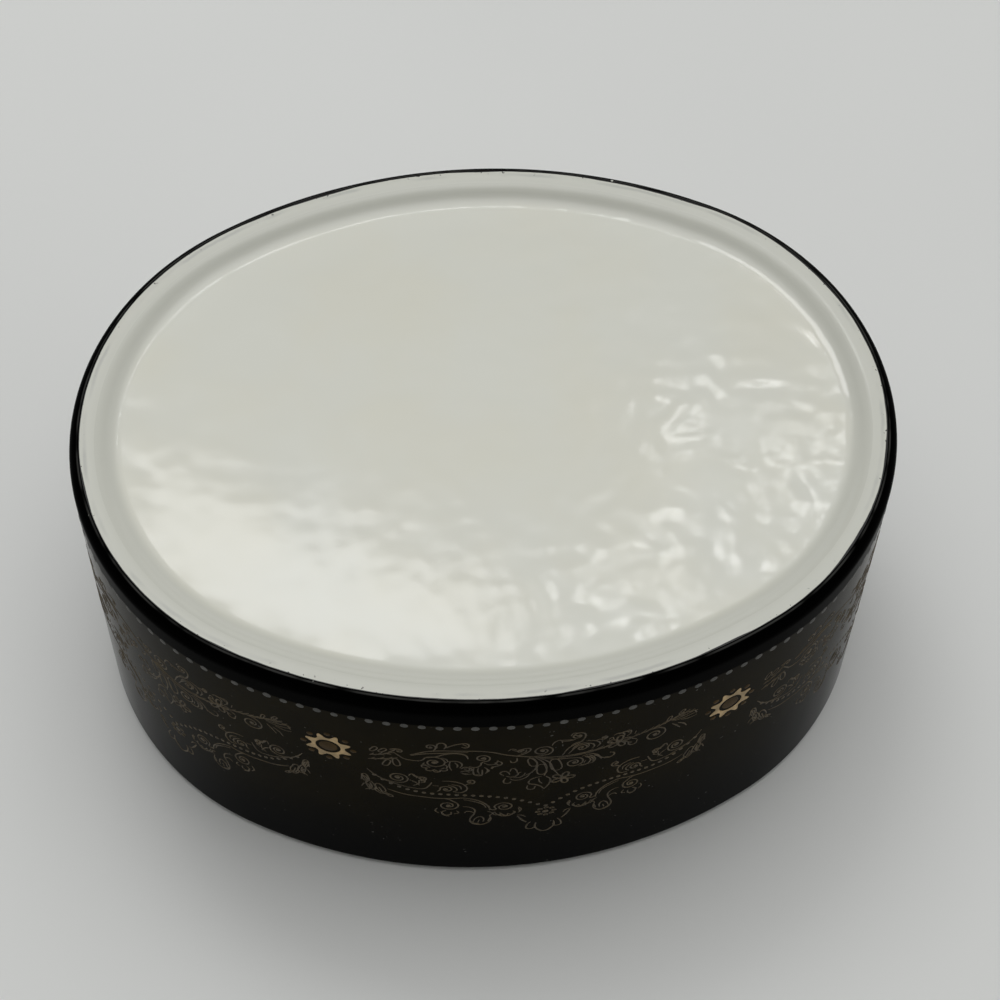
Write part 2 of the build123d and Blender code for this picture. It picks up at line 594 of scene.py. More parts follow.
class OVAL_BOX_OT_porcelain_box(PieceOperator, bpy.types.Operator):
    """Casts the porcelain box: foot ring, recess, wall, gallery and inside"""

    bl_idname = "oval_box.porcelain_box"
    bl_label = "Porcelain Box"

    def build(self, context):
        s = self.sizes
        floor = s.foot - s.recess
        shoulder, rim, edge = self.coat_lines()
        crown_margin = 0.3 * MM
        ledge_rounding = 0.3 * MM
        profile = rounded([
            (CAP_INSET, floor, 0),
            *((inset, floor, 0) for inset in FLOOR_INSETS),
            (s.ring_edge + s.slope, floor, s.floor_rounding),
            (s.ring_edge, s.foot, s.ring_rounding),
            (s.shoulder + crown_margin, s.foot, 0),
        ])
        profile += bend(shoulder, s.shoulder, math.pi / 2, edge)
        profile += bend(shoulder, s.shoulder - s.coat, edge, 0)
        profile += bend(rim, s.rim_rounding - s.coat, 0, -math.pi / 2)
        profile += rounded([
            (s.rim_rounding, s.rim, 0),
            (s.gallery_lip, s.rim, 0),
            (s.gallery_lip, s.rim + s.gallery_depth, 0),
            (s.wall, s.rim + s.gallery_depth, ledge_rounding),
            (s.wall, floor - s.base, s.inside_rounding),
            (CAP_INSET, floor - s.base, 0),
        ])
        bm = bmesh.new()
        self.oval.spin(bm, profile)
        self.ripple_foot(bm, floor)
        add_piece(context, "porcelain_box", bm, self.porcelain(), "box", "box_body")

    def ripple_foot(self, bm, floor):
        """Gives the foot ring and its slope the slight unevenness of a fired glaze."""
        inset_layer = bm.verts.layers.float["inset"]
        depth = 0.05 * MM
        grain = 7 * MM
        lowest = floor - 0.1 * MM
        first = 2.2 * MM
        last = 11 * MM
        for vert in bm.verts:
            if vert.co.z > lowest and first < vert[inset_layer] < last:
                vert.co.z += depth * noise.noise(vert.co / grain)


class OVAL_BOX_OT_wall_coat(PieceOperator, bpy.types.Operator):
    """Lays the black coat over the box's wall, shoulder and rim"""

    bl_idname = "oval_box.wall_coat"
    bl_label = "Wall Coat"

    def build(self, context):
        s = self.sizes
        shoulder, rim, edge = self.coat_lines()
        margin = 0.5 * MM
        profile = bend(shoulder, s.shoulder, edge, 0)
        profile += [(0, shoulder[1] - margin), (0, rim[1] + margin)]
        profile += bend(rim, s.rim_rounding, 0, -math.pi / 2)
        profile += bend(rim, s.rim_rounding - s.coat, -math.pi / 2, 0)
        profile += bend(shoulder, s.shoulder - s.coat, 0, edge)
        bm = bmesh.new()
        self.oval.spin(bm, profile, closed=True)
        add_piece(context, "wall_coat", bm, self.black(), "box", "box_black_coat")


class OVAL_BOX_OT_lid_casting(PieceOperator, bpy.types.Operator):
    """Casts the porcelain lid: a flat plate with its locating flange"""

    bl_idname = "oval_box.lid_casting"
    bl_label = "Lid Casting"

    def build(self, context):
        s = self.sizes
        top = s.rim + s.gallery_depth
        inner = s.flange_inset + s.flange
        flange_foot_rounding = 0.4 * MM
        profile = rounded([
            (CAP_INSET, s.coat, 0),
            (s.lid_inset + s.coat, s.coat, s.lid_rounding - s.coat),
            (s.lid_inset + s.coat, top - s.lid_bare_edge, 0),
            (s.lid_inset, top - s.lid_bare_edge, 0),
            (s.lid_inset, top, 0),
            (s.flange_inset, top, 0),
            (s.flange_inset, top + s.flange_height, s.flange_rounding),
            (inner, top + s.flange_height, s.flange_rounding),
            (inner, top, flange_foot_rounding),
            (CAP_INSET, top, 0),
        ])
        bm = bmesh.new()
        self.oval.spin(bm, profile)
        add_piece(context, "lid_casting", bm, self.porcelain(), "lid", "lid")


class OVAL_BOX_OT_lid_coat(PieceOperator, bpy.types.Operator):
    """Lays the black coat over the lid's top and edge"""

    bl_idname = "oval_box.lid_coat"
    bl_label = "Lid Coat"

    def build(self, context):
        s = self.sizes
        brim = s.rim + s.gallery_depth - s.lid_bare_edge
        profile = rounded([
            (CAP_INSET, 0, 0),
            (s.lid_inset, 0, s.lid_rounding),
            (s.lid_inset, brim, 0),
            (s.lid_inset + s.coat, brim, 0),
            (s.lid_inset + s.coat, s.coat, s.lid_rounding - s.coat),
            (CAP_INSET, s.coat, 0),
        ])
        bm = bmesh.new()
        self.oval.spin(bm, profile)
        add_piece(context, "lid_coat", bm, self.black(), "lid", "lid_black_coat")


class OVAL_BOX_OT_bead_row(PieceOperator, bpy.types.Operator):
    """Prints the row of beads round the wall"""

    bl_idname = "oval_box.bead_row"
    bl_label = "Bead Row"

    def build(self, context):
        o = self.ornament
        pitch = self.oval.perimeter / o.bead_count
        noise_step = 0.73
        noise_row = 0.4
        swelling = 0.12
        straying = 0.12 * MM
        flatness = 0.95
        bm = bmesh.new()
        for index in range(o.bead_count):
            uneven = noise.noise(Vector((index * noise_step, noise_row, 0)))
            radius = o.bead / 2 * (1 + swelling * uneven)
            place = self.oval.place(index * pitch, o.bead_height + straying * uneven)
            shape = Matrix.Diagonal((radius, radius * flatness, o.relief, 1))
            bmesh.ops.create_uvsphere(bm, u_segments=10, v_segments=4, radius=1, matrix=place @ shape)
        material = print_finish("bead_grey", self.finishes.bead_grey, metallic=0.2, roughness=0.5)
        add_piece(context, "bead_row", bm, material, "box")


class PanelOperator(PieceOperator):
    """What the ornaments share that repeat in each panel of the wall."""

    # Points of a sun, with a dot between each two
    sun_points = 8

    def panels(self):
        """Where each panel's middle is along the wall, and how long the panel is."""
        o = self.ornament
        other = (self.oval.perimeter - o.front_panel) / (o.panels - 1)
        places = [(o.panel_middle, o.front_panel)]
        for index in range(o.panels - 1):
            places.append((o.panel_middle + o.front_panel / 2 + other * (index + 0.5), other))
        return places

    def repeat(self, flat, places):
        """Wraps a copy of a flat ornament on to the wall at each place."""
        whole = bmesh.new()
        carrier = bpy.data.meshes.new("carrier")
        for distance, stretch in places:
            copy = flat.copy()
            self.oval.wrap(copy, distance, stretch)
            copy.to_mesh(carrier)
            copy.free()
            whole.from_mesh(carrier)
        bpy.data.meshes.remove(carrier)
        flat.free()
        bmesh.ops.recalc_face_normals(whole, faces=whole.faces)
        return whole

    def sun_places(self):
        """Where the suns are: at the end of each panel, never stretched."""
        return [(middle + length / 2, 1.0) for middle, length in self.panels()]

    def scroll_places(self):
        """Where the scrollwork is: in the middle of each panel, stretched to its length."""
        return [(middle, length / self.ornament.front_panel) for middle, length in self.panels()]


class OVAL_BOX_OT_suns(PanelOperator, bpy.types.Operator):
    """Prints a bright sun with eight points between each two panels"""

    bl_idname = "oval_box.suns"
    bl_label = "Suns"

    def build(self, context):
        o = self.ornament
        segments = 20 * self.sun_points
        sharpness = 4
        sunk_share = 0.25
        bm = bmesh.new()
        outer = bmesh.ops.create_circle(bm, segments=segments, radius=1)["verts"]
        bmesh.ops.create_circle(bm, segments=segments, radius=o.sun_hole)
        for vert in outer:
            heading = math.atan2(vert.co.y, vert.co.x)
            sharp = abs(math.sin(heading * self.sun_points / 2)) ** sharpness
            vert.co *= o.sun_ring + (o.sun_tip - o.sun_ring) * sharp
        bmesh.ops.bridge_loops(bm, edges=bm.edges[:])
        ring = bmesh.ops.extrude_face_region(bm, geom=bm.faces[:])
        top = [item for item in ring["geom"] if isinstance(item, bmesh.types.BMVert)]
        bmesh.ops.translate(bm, verts=top, vec=(0, 0, o.relief))
        bmesh.ops.translate(bm, verts=bm.verts, vec=(0, o.sun_height, -o.relief * sunk_share))
        material = print_finish("bright_gold", self.finishes.bright_gold, metallic=0.4, roughness=0.35)
        add_piece(context, "suns", self.repeat(bm, self.sun_places()), material, "box")


class OVAL_BOX_OT_sun_bosses(PanelOperator, bpy.types.Operator):
    """Prints the dull boss inside each sun and the dots between its points"""

    bl_idname = "oval_box.sun_bosses"
    bl_label = "Sun Bosses"

    def build(self, context):
        o = self.ornament
        boss_radius = 1.3 * MM
        dot_radius = 0.46 * MM
        reach = o.sun_tip + 0.1 * MM
        brown_tint = (0.9, 0.72, 0.35)
        bm = bmesh.new()
        add_dot(bm, 0, o.sun_height, boss_radius, o.relief, 16)
        for index in range(self.sun_points):
            heading = math.tau * index / self.sun_points
            along = reach * math.cos(heading)
            height = o.sun_height + reach * math.sin(heading)
            add_dot(bm, along, height, dot_radius, o.relief, 10)
        whole = self.repeat(bm, self.sun_places())
        brown = tinted(self.finishes.dull_gold, brown_tint)
        material = print_finish("dim_gold", brown, metallic=1.0, roughness=0.5)
        add_piece(context, "sun_bosses", whole, material, "box")


def add_dot(bm, along, height, radius, relief, sides):
    """A low round dot of a flat ornament."""
    shape = Matrix.Translation((along, height, 0)) @ Matrix.Diagonal((radius, radius, relief, 1))
    bmesh.ops.create_uvsphere(bm, u_segments=sides, v_segments=4, radius=1, matrix=shape)


def curl(along, height, radius, first, turns, tail=()):
    """A line that winds in to a point, from an angle in degrees; turns below 0 wind clockwise."""
    steps_per_turn = 8
    winding = 0.78
    steps = round(abs(turns) * steps_per_turn)
    points = list(tail)
    for step in range(steps + 1):
        share = step / steps
        reach = radius * (1 - winding * share)
        heading = math.radians(first + 360 * turns * share)
        points.append((along + reach * math.cos(heading), height + reach * math.sin(heading)))
    return points


def blade(along, height, length, heading, breadth=0.4):
    """The outline of a narrow leaf about its middle, pointing at an angle in degrees."""
    widest = -0.1
    turn = Matrix.Rotation(math.radians(heading), 2)
    shape = [(-0.5, 0), (widest, breadth / 2), (0.5, 0), (widest, -breadth / 2)]
    return [tuple(Vector((along, height)) + turn @ Vector(point) * length) for point in shape]


def lobes(along, height, radius, first, last, count, depth=0.45):
    """The lobes of a leaf's edge along an arc, each a short line that bulges out."""
    swell = [(0.0, 0.0), (0.2, 0.8), (0.5, 1.0), (0.8, 0.8), (1.0, 0.0)]
    lines = []
    for index in range(count):
        line = []
        for share, bulge in swell:
            heading = math.radians(first + (last - first) * (index + share) / count)
            reach = radius * (1 + depth * bulge)
            line.append((along + reach * math.cos(heading), height + reach * math.sin(heading)))
        lines.append(line)
    return lines


def bloom(along, height, radius, petals, first=90):
    """The outlines of a flower's petals round its middle."""
    reach = radius * 0.62
    length = radius * 0.85
    breadth = 0.62
    lines = []
    for index in range(petals):
        heading = first + 360 * index / petals
        middle_along = along + reach * math.cos(math.radians(heading))
        middle_height = height + reach * math.sin(math.radians(heading))
        lines.append(blade(middle_along, middle_height, length, heading + 180, breadth))
    return lines


def feathers(start, end, count, length, spread):
    """Short strokes that leave a straight stem to both sides, longest in its middle."""
    shortest = 0.6
    lean = 0.6
    first = Vector(start)
    last = Vector(end)
    along = (last - first).normalized()
    lines = []
    for index in range(count):
        share = (index + 0.5) / count
        root = first.lerp(last, share)
        reach = length * (shortest + (1 - shortest) * math.sin(math.pi * share))
        for side in (-1, 1):
            out = Matrix.Rotation(math.radians(side * spread), 2) @ along
            middle = root + (out + along) * reach / 4
            tip = root + (out * lean + along * (1 - lean)) * reach
            lines.append([tuple(root), tuple(middle), tuple(tip)])
    return lines


class ScrollOperator(PanelOperator):
    """What the scrollwork shares: lines drawn flat as curves, in millimetres, made a mesh and wrapped."""

    # Weights of the strokes, as shares of a line's width
    stem_weight = 1.1
    bold_weight = 1.2
    accent_weight = 1.4
    blade_weight = 0.9
    fine_weight = 0.8
    tip_share = 0.6

    # Dot in the middle of a curl or flower, as a share of its radius
    eye_share = 0.22
    eye_sides = 8

    def draw_line(self, curve, points, closed=False, weight=1.0):
        """Adds a smooth line through some points, thinner at its ends."""
        spline = curve.splines.new("BEZIER")
        spline.bezier_points.add(len(points) - 1)
        spline.use_cyclic_u = closed
        spline.resolution_u = 4
        for point, (along, height) in zip(spline.bezier_points, points):
            point.co = (along * MM, height * MM, 0)
            point.radius = weight
        if not closed:
            for point in (spline.bezier_points[0], spline.bezier_points[-1]):
                point.radius = weight * self.tip_share
        for point in spline.bezier_points:
            point.handle_left_type = "AUTO"
            point.handle_right_type = "AUTO"

    def flat_mesh(self, context, curve):
        """The curve's lines as a low relief mesh."""
        o = self.ornament
        curve.dimensions = "3D"
        curve.twist_mode = "Z_UP"
        curve.bevel_depth = o.line / 2
        curve.bevel_resolution = 0
        curve.use_fill_caps = True
        drawing = bpy.data.objects.new("drawing", curve)
        context.scene.collection.objects.link(drawing)
        drawn = drawing.evaluated_get(context.evaluated_depsgraph_get())
        mesh = bpy.data.meshes.new_from_object(drawn)
        bm = bmesh.new()
        bm.from_mesh(mesh)
        bmesh.ops.scale(bm, verts=bm.verts, vec=(1, 1, o.relief / (o.line / 2)))
        bpy.data.objects.remove(drawing)
        bpy.data.curves.remove(curve)
        bpy.data.meshes.remove(mesh)
        return bm


class OVAL_BOX_OT_vine_sprays(ScrollOperator, bpy.types.Operator):
    """Prints the upper spray of each panel: a waved stem with curls, leaves and hanging flowers"""

    bl_idname = "oval_box.vine_sprays"
    bl_label = "Vine Sprays"

    stems = [
        [(-16.7, 37.6), (-14.1, 39.1), (-10.1, 39.5), (-6.3, 39.2), (-3.8, 38.0), (-0.3, 36.8), (3.3, 35.9),
         (7.8, 36.0), (11.2, 36.7), (14.7, 37.5), (18.1, 38.4), (20.3, 39.3), (22.6, 38.6)],
        [(-16.6, 37.4), (-15.2, 38.1), (-11.8, 38.8), (-9.0, 39.1)],
        [(-14.9, 37.0), (-13.2, 37.6), (-12.1, 38.4), (-10.4, 38.7), (-9.3, 38.2), (-9.0, 37.2)],
        [(-22.2, 36.1), (-20.8, 36.6), (-19.6, 37.4), (-18.7, 37.8)],
        [(-22.4, 34.8), (-20.8, 35.3), (-19.4, 35.8), (-18.4, 36.3)],
        [(3.0, 35.5), (7.0, 35.6), (10.2, 36.3)],
    ]
    leaves = [
        [(-12.0, 36.0), (-11.2, 36.4), (-10.3, 36.3), (-9.8, 35.4), (-10.1, 34.4)],
        [(-11.4, 36.2), (-11.5, 34.9), (-11.2, 33.6)],
        [(-9.6, 34.3), (-8.8, 34.5), (-8.5, 33.8), (-9.4, 33.4)],
        [(-9.8, 32.9), (-9.4, 32.5), (-8.5, 32.6)],
        [(-8.2, 34.6), (-8.3, 33.1), (-8.0, 32.2), (-7.3, 32.1), (-7.1, 33.0), (-7.1, 33.9)],
        [(-6.6, 34.2), (-6.2, 33.6), (-6.7, 32.7)],
        [(-5.2, 36.4), (-4.5, 35.8), (-4.7, 35.1), (-5.6, 34.6), (-5.8, 34.1)],
        [(-13.1, 40.2), (-13.0, 41.4), (-12.4, 41.7), (-11.9, 41.0), (-12.2, 40.0)],
        [(-12.0, 40.3), (-11.2, 41.0), (-10.1, 41.6), (-9.2, 41.7), (-8.9, 41.0), (-9.3, 40.5),
         (-9.9, 40.7)],
        [(-3.2, 39.4), (-2.3, 39.0), (-1.6, 39.5), (-0.8, 39.4), (-1.0, 38.5), (-1.9, 37.8), (-2.5, 37.6)],
        [(-3.4, 36.3), (-3.1, 35.6), (-2.6, 35.9), (-2.5, 37.0)],
        [(2.1, 39.6), (2.5, 40.5), (3.2, 40.8), (3.5, 39.9)],
        [(3.5, 40.3), (4.5, 40.2), (5.3, 40.4)],
        [(6.7, 39.3), (8.1, 38.7), (8.7, 37.8), (8.3, 36.8)],
        [(6.9, 38.6), (7.7, 38.0), (7.9, 37.2), (7.6, 36.7)],
        [(10.5, 39.2), (11.4, 39.4), (12.0, 38.8), (11.8, 37.9)],
        [(12.0, 39.4), (12.7, 39.5), (12.9, 38.6), (12.4, 37.9)],
        [(13.7, 38.8), (13.5, 38.0)],
        [(12.7, 36.0), (12.9, 35.1), (13.6, 34.9), (14.0, 36.0)],
        [(6.3, 34.8), (7.4, 35.1), (8.4, 34.5), (9.2, 33.2), (10.3, 32.8), (10.9, 33.7), (10.2, 34.3)],
        [(7.0, 34.7), (7.8, 33.8), (8.0, 32.5)],
        [(8.0, 34.6), (8.8, 33.6), (9.1, 32.9)],
        [(-0.9, 36.8), (0.1, 35.3), (0.2, 33.8), (-0.4, 32.2), (-1.4, 31.3)],
        [(0.0, 36.5), (1.0, 35.0), (1.6, 33.0), (1.3, 30.6)],
        [(0.4, 36.4), (1.9, 34.6), (2.5, 32.4), (3.3, 30.3)],
        [(1.0, 30.6), (-0.5, 29.9), (-0.7, 28.7), (0.1, 28.2), (0.8, 27.6), (1.4, 26.5)],
        [(1.5, 30.5), (2.1, 29.6), (2.2, 28.7), (1.9, 27.6), (1.4, 26.5)],
        [(-0.9, 28.2), (-0.9, 27.1), (-0.2, 26.8), (0.2, 27.7)],
        [(0.6, 30.0), (0.7, 29.0), (1.1, 28.3)],
        [(-12.6, 37.3), (-11.9, 36.9), (-11.7, 36.2)],
        [(-12.2, 35.4), (-11.8, 34.8), (-11.9, 34.2)],
        [(-10.8, 36.0), (-10.4, 35.2), (-10.5, 34.5)],
        [(-14.8, 35.6), (-15.0, 35.0), (-14.6, 34.6)],
        [(-9.9, 34.2), (-9.4, 34.7), (-8.8, 34.3), (-8.9, 33.7)],
        [(-10.0, 33.2), (-9.4, 33.5), (-8.8, 33.1)],
        [(-7.6, 34.6), (-7.7, 33.4), (-7.5, 32.7)],
        [(-6.8, 34.6), (-6.4, 33.9), (-6.5, 33.0)],
        [(-6.9, 35.9), (-6.0, 35.3), (-5.3, 35.7), (-5.0, 36.6)],
        [(-5.6, 35.4), (-4.6, 35.3)],
        [(-3.7, 39.2), (-3.2, 39.7), (-2.6, 39.4)],
        [(-1.3, 39.2), (-1.4, 38.5), (-2.0, 38.2)],
        [(-4.2, 31.8), (-4.7, 32.6), (-4.2, 33.1), (-3.6, 32.7), (-3.4, 32.0)],
        [(-3.4, 32.9), (-3.0, 33.8), (-2.5, 33.2), (-2.4, 32.4)],
        [(-3.9, 31.6), (-3.2, 31.2), (-2.4, 31.6), (-2.2, 32.3), (-1.8, 32.6)],
        [(-3.9, 31.0), (-4.2, 30.2), (-4.0, 29.4), (-3.4, 29.4), (-3.2, 29.9)],
        [(-3.4, 30.7), (-2.6, 30.1), (-1.7, 30.3), (-1.0, 31.0), (-0.6, 32.0)],
        [(-2.9, 31.0), (-2.1, 30.9), (-1.5, 31.5), (-1.3, 32.2)],
        [(4.6, 41.6), (4.9, 42.2), (5.6, 42.0)],
        [(4.7, 38.7), (5.5, 39.3), (6.4, 39.4)],
        [(4.9, 37.3), (5.3, 38.3), (6.3, 38.8), (7.1, 38.2), (7.1, 37.3)],
        [(9.9, 38.2), (10.3, 38.6), (10.6, 38.0)],
        [(6.7, 34.7), (7.5, 33.7), (7.4, 32.6), (6.8, 32.1), (6.0, 32.1)],
        [(7.3, 34.9), (8.1, 33.8), (8.0, 32.5), (7.5, 32.2)],
        [(6.9, 33.5), (6.7, 32.7)],
        [(18.4, 38.5), (19.8, 38.9), (21.4, 39.7)],
        [(18.8, 38.2), (20.6, 38.5), (22.3, 38.9)],
        [(19.2, 38.0), (20.8, 37.9), (22.4, 38.2)],
        [(20.2, 37.6), (21.6, 37.2), (22.6, 37.4)],
        [(18.9, 37.4), (19.6, 36.4), (20.2, 35.4)],
        [(19.8, 37.0), (20.7, 36.2), (21.2, 35.2)],
    ]
    curls = [
        (-13.5, 35.8, 1.85, 170, -1.5, [(-18.9, 37.8), (-18.2, 37.0), (-17.6, 36.3), (-16.6, 36.0)]),
        (-7.1, 37.3, 1.15, -90, 1.5, [(-8.9, 34.9), (-8.1, 34.6), (-7.4, 35.1)]),
        (-14.0, 40.4, 0.8, -30, 1.1, [(-13.6, 39.3)]),
        (-18.2, 38.4, 0.65, 180, -1.1, [(-19.6, 37.7)]),
        (0.9, 38.3, 1.45, -50, 1.6, [(-0.2, 36.9), (1.0, 37.0)]),
        (5.6, 41.2, 1.0, -10, 1.3, [(3.6, 36.2), (4.5, 38.2), (6.1, 39.5)]),
        (6.2, 37.5, 0.95, 160, -1.4, [(4.4, 36.3)]),
        (9.2, 39.2, 0.55, -150, 1.2, [(8.0, 38.8)]),
        (5.3, 33.4, 1.4, 95, -1.6, [(0.5, 36.3), (2.8, 35.3)]),
        (16.5, 35.9, 1.65, 60, -1.5, [(16.0, 37.8)]),
        (-2.1, 38.9, 0.5, 0, 1.1, []),
    ]
    blades = [
        (-21.6, 38.0, 1.6, 60), (-20.4, 38.0, 1.5, 50), (-19.9, 34.4, 2.0, -110), (-18.6, 34.9, 2.2, -80),
        (18.4, 39.2, 1.2, 70), (20.2, 39.9, 1.2, 50), (-0.4, 35.2, 2.6, -75), (0.9, 32.7, 3.2, -85),
        (2.8, 33.6, 3.6, -80),
    ]
    accents = [
        [(-19.4, 38.6), (-18.4, 38.9), (-17.8, 38.6)],
        [(-9.7, 41.5), (-9.2, 41.0)], [(-14.7, 35.0), (-14.1, 34.2)],
        [(-13.6, 33.7), (-13.0, 33.2)], [(-12.6, 33.9), (-12.1, 34.4)], [(-9.5, 34.0), (-8.9, 33.6)],
        [(-9.9, 32.8), (-9.0, 32.6)], [(-8.0, 32.4), (-7.3, 32.3)], [(-5.4, 36.0), (-5.0, 35.2)],
        [(-5.7, 34.8), (-5.9, 34.2)], [(-2.4, 39.2), (-1.6, 39.0)], [(3.4, 40.7), (4.8, 40.4)],
        [(5.0, 41.7), (5.8, 41.0)], [(9.5, 39.4), (9.2, 38.6)], [(11.2, 39.2), (12.2, 39.4), (12.7, 38.9)],
        [(10.0, 37.6), (10.8, 36.6)], [(12.2, 36.4), (13.2, 35.6)], [(13.1, 36.9), (13.9, 36.2)],
        [(17.8, 38.6), (18.9, 38.8)], [(20.0, 39.8), (20.8, 39.2)], [(22.1, 38.9), (22.5, 38.0)],
        [(6.2, 32.3), (7.4, 32.2)], [(9.6, 33.2), (10.3, 32.8)], [(19.0, 37.2), (19.7, 36.4)],
    ]
    plumes = [
        ((6.4, 35.9), (10.0, 36.4), 3, 1.3, 32), ((13.0, 37.2), (17.6, 38.3), 5, 1.2, 35),
        ((18.0, 38.4), (22.0, 39.0), 3, 1.2, 35), ((-22.6, 36.0), (-19.4, 37.3), 3, 1.0, 45),
        ((-22.6, 34.8), (-19.0, 36.0), 3, 1.0, 45),
    ]
    edges = [(-13.3, 34.9, 1.35, 175, 335, 4)]
    flowers = [(3.9, 29.2, 1.6, 5, 70), (11.3, 36.9, 1.6, 5, 80)]

    def build(self, context):
        curve = bpy.data.curves.new("vine_sprays", "CURVE")
        for line in self.stems:
            self.draw_line(curve, line, weight=self.stem_weight)
        for line in self.leaves:
            self.draw_line(curve, line)
        for line in self.accents:
            self.draw_line(curve, line, weight=self.accent_weight)
        for values in self.plumes:
            for line in feathers(*values):
                self.draw_line(curve, line, weight=self.fine_weight)
        for values in self.curls:
            self.draw_line(curve, curl(*values))
        for values in self.blades:
            self.draw_line(curve, blade(*values), closed=True, weight=self.blade_weight)
        for values in self.edges:
            for line in lobes(*values):
                self.draw_line(curve, line)
        for values in self.flowers:
            for line in bloom(*values):
                self.draw_line(curve, line, closed=True, weight=self.bold_weight)
        flat = self.flat_mesh(context, curve)
        for along, height, radius, *rest in self.flowers + self.curls:
            eye = radius * self.eye_share * MM
            add_dot(flat, along * MM, height * MM, eye, self.ornament.relief, self.eye_sides)
        whole = self.repeat(flat, self.scroll_places())
        add_piece(context, "vine_sprays", whole, self.dull_gold(), "box")


